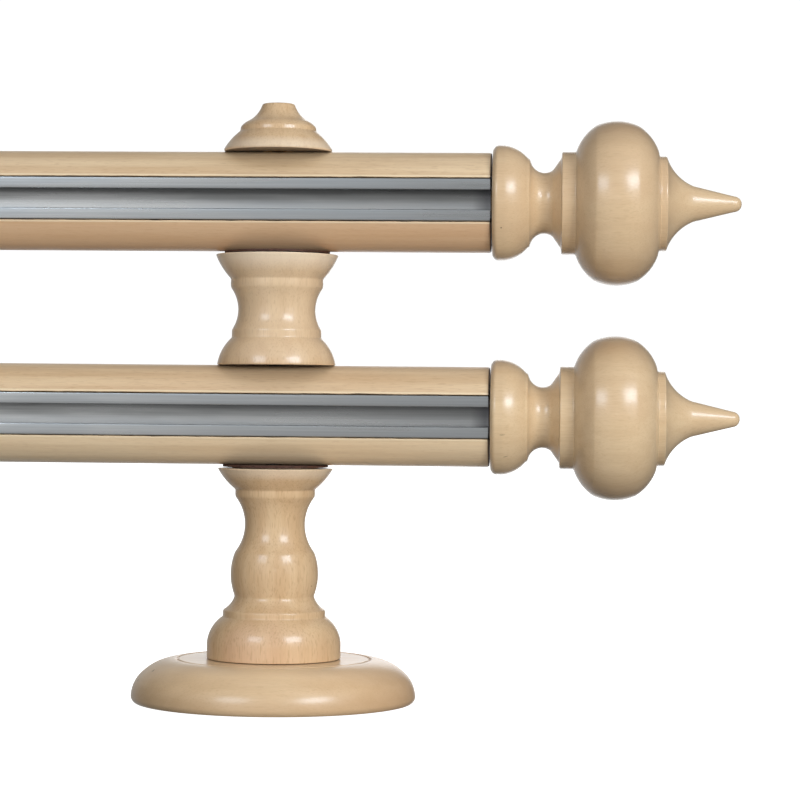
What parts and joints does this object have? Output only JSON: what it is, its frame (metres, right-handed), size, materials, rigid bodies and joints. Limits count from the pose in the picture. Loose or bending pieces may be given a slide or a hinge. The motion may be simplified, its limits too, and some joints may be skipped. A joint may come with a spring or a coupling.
{
  "type": "double curtain pole",
  "caption": "Two grooved round wooden curtain poles with glider tracks and turned finials, one in front of the other on turned double wall brackets.",
  "frame": {"origin": "midway between the two brackets, in the plane of the wall, at the bottom centre of the part as it stands on its rosettes", "axes": "+X along the poles, +Z away from the wall along the brackets, and the tracks open towards -Y, which points down when the part is fixed to a wall"},
  "size_m": [1.3398, 0.08, 0.1681],
  "materials": {
    "beech_face": "semi-gloss clear lacquer on beech",
    "beech_turned": "semi-gloss clear lacquer on turned beech",
    "beech_pole": "satin clear lacquer on beech",
    "beech_finial": "semi-gloss clear lacquer on turned beech",
    "raw_dowel": "bare fluted beech dowel",
    "aluminium_track": "mill-finish extrusion with fine lengthwise lines",
    "zinc_steel": "bright zinc plate",
    "black_steel": "black oxide on a steel threaded rod",
    "brass_insert": "turned brass",
    "leather_washer": "thin vegetable-tanned leather"
  },
  "bodies": {
    "root": {"left_rosette": "beech_face", "left_wall_plate": "zinc_steel", "left_stud": "black_steel", "left_clamp_washer": "zinc_steel", "left_clamp_nut": "zinc_steel", "left_stem": "beech_turned", "left_rear_seat_washer": "leather_washer", "left_spacer": "beech_turned", "left_front_seat_washer": "leather_washer", "left_cap": "beech_turned", "left_cap_insert": "brass_insert", "right_rosette": "beech_face", "right_wall_plate": "zinc_steel", "right_stud": "black_steel", "right_clamp_washer": "zinc_steel", "right_clamp_nut": "zinc_steel", "right_stem": "beech_turned", "right_rear_seat_washer": "leather_washer", "right_spacer": "beech_turned", "right_front_seat_washer": "leather_washer", "right_cap": "beech_turned", "right_cap_insert": "brass_insert", "rear_pole": "beech_pole", "rear_track": "aluminium_track", "rear_track_screws": "zinc_steel", "rear_left_finial": "beech_finial", "rear_left_dowel": "raw_dowel", "rear_right_finial": "beech_finial", "rear_right_dowel": "raw_dowel", "front_pole": "beech_pole", "front_track": "aluminium_track", "front_track_screws": "zinc_steel", "front_left_finial": "beech_finial", "front_left_dowel": "raw_dowel", "front_right_finial": "beech_finial", "front_right_dowel": "raw_dowel"}
  },
  "joints": []
}
